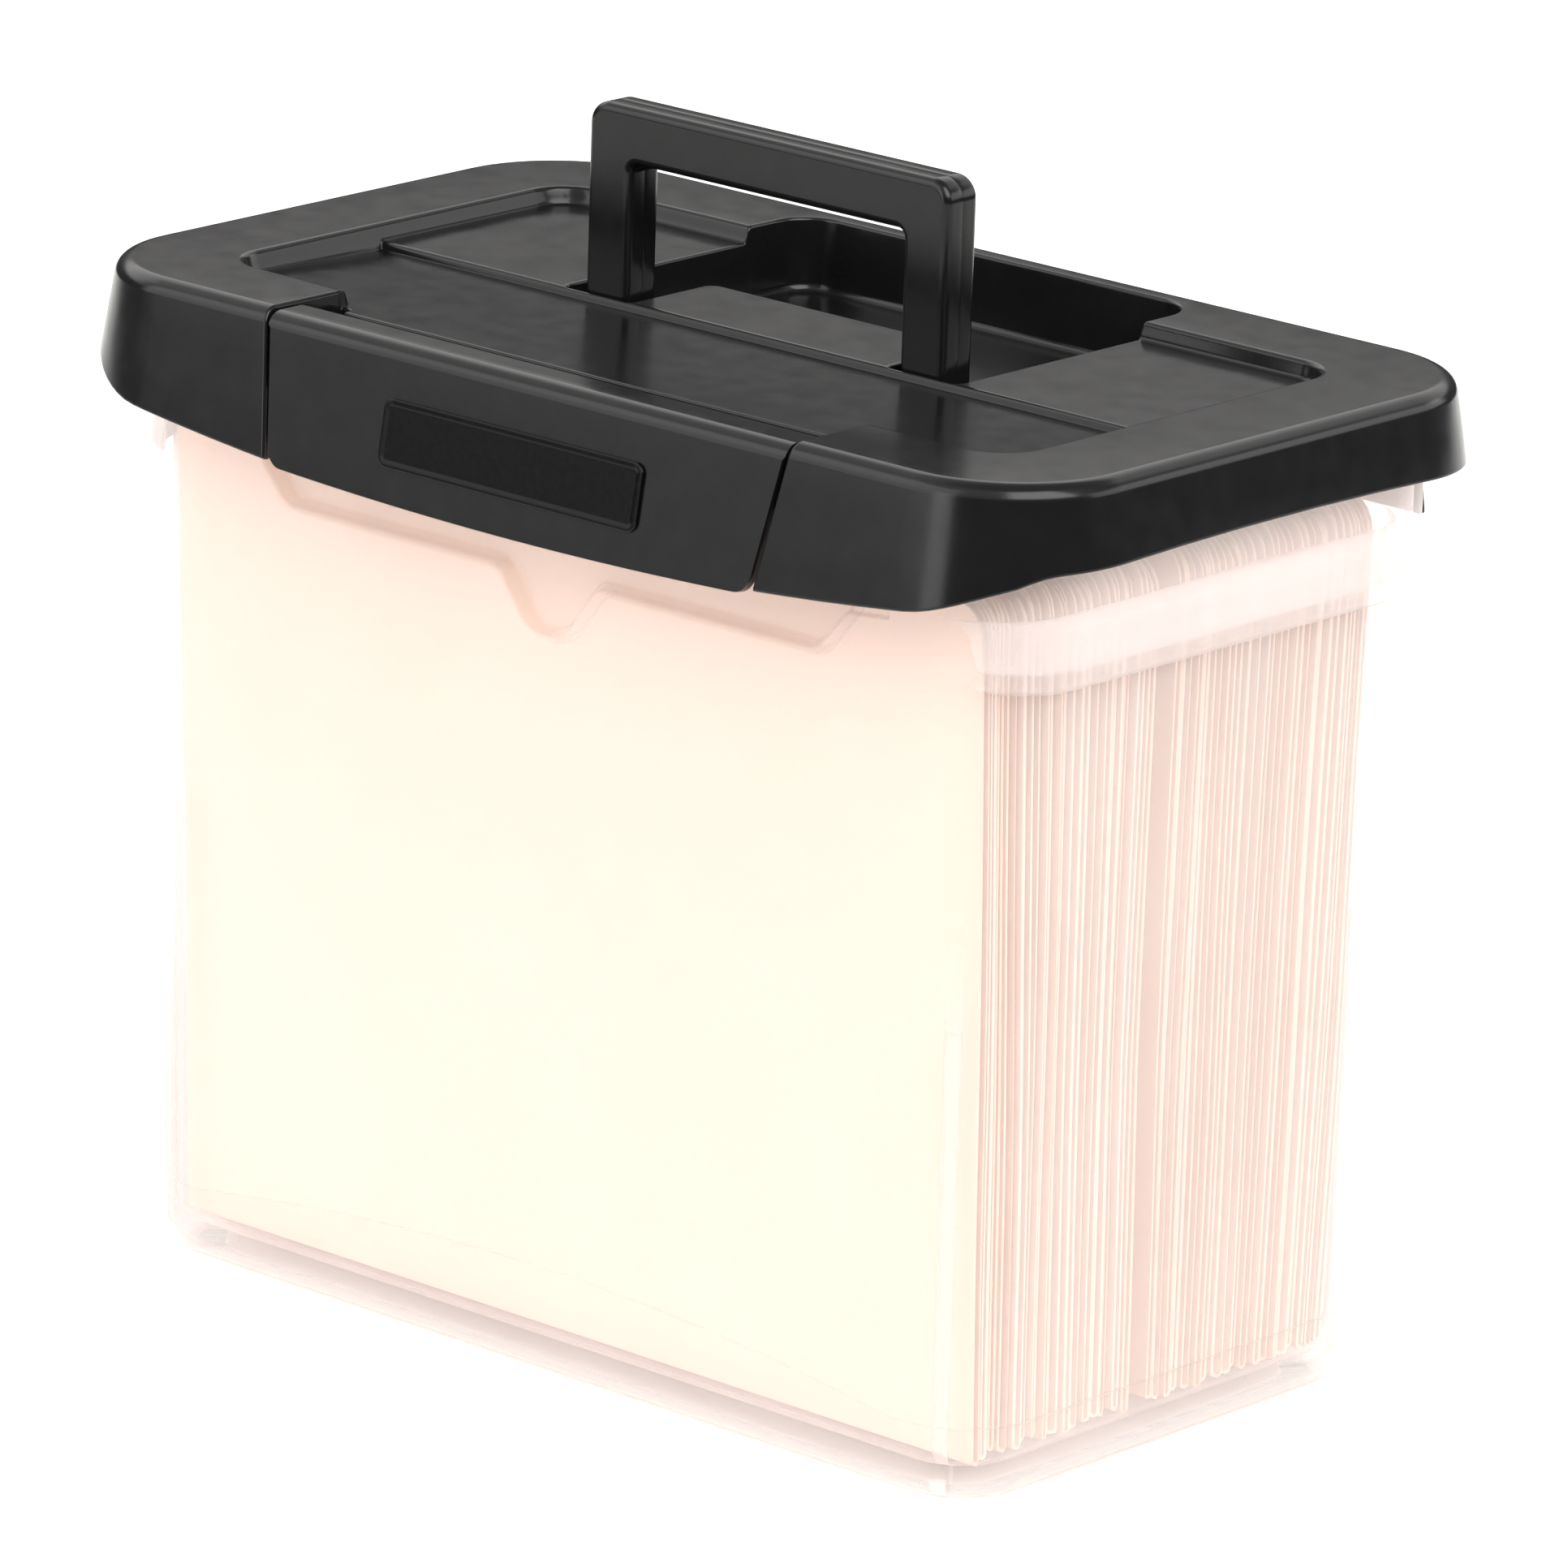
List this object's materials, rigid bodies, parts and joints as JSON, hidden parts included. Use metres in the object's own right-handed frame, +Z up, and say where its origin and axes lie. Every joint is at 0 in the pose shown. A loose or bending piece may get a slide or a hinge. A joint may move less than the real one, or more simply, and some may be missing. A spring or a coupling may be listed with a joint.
{
  "type": "portable file box",
  "caption": "Translucent plastic file box of manila folders, with a lift-off lid, a flip-up front latch and a carrying handle that folds down into the lid.",
  "frame": {"origin": "centre of the overall bounding box, on the table under the tub", "axes": "+Z up; the latch and the front face -Y; +X runs along the long side, to the right seen from the front"},
  "size_m": [0.3608, 0.2184, 0.3365],
  "materials": {
    "frosted_plastic": "frosted translucent natural polypropylene",
    "black_plastic": "satin moulded black polypropylene with a fine grain",
    "plate_plastic": "smooth black",
    "card": "matt manila card"
  },
  "bodies": {
    "base": {"tub": "frosted_plastic", "folder_01": "card", "folder_02": "card", "folder_03": "card", "folder_04": "card", "folder_05": "card", "folder_06": "card", "folder_07": "card", "folder_08": "card", "folder_09": "card", "folder_10": "card", "folder_11": "card", "folder_12": "card", "folder_13": "card", "folder_14": "card", "folder_15": "card", "folder_16": "card", "folder_17": "card", "folder_18": "card", "folder_19": "card", "folder_20": "card", "folder_21": "card", "folder_22": "card", "folder_23": "card", "folder_24": "card", "folder_25": "card", "folder_26": "card", "folder_27": "card", "folder_28": "card", "folder_29": "card", "folder_30": "card", "folder_31": "card", "folder_32": "card", "folder_33": "card", "folder_34": "card", "folder_35": "card"},
    "lid": {"lid": "black_plastic"},
    "latch": {"latch": "black_plastic", "label_plate": "plate_plastic"},
    "handle": {"handle": "black_plastic"}
  },
  "joints": [
    {"name": "lid_lift", "type": "slide", "parent": "base", "child": "lid", "axis": [0, 0, 1], "range_m": [0, 0.08]},
    {"name": "latch_hinge", "type": "hinge", "parent": "lid", "child": "latch", "pos_m": [0, -0.093, 0.2805], "axis": [-1, 0, 0], "range_deg": [0, 110]},
    {"name": "handle_hinge", "type": "hinge", "parent": "lid", "child": "handle", "pos_m": [0, -0.0005, 0.2735], "axis": [-1, 0, 0], "range_deg": [0, 90]}
  ]
}
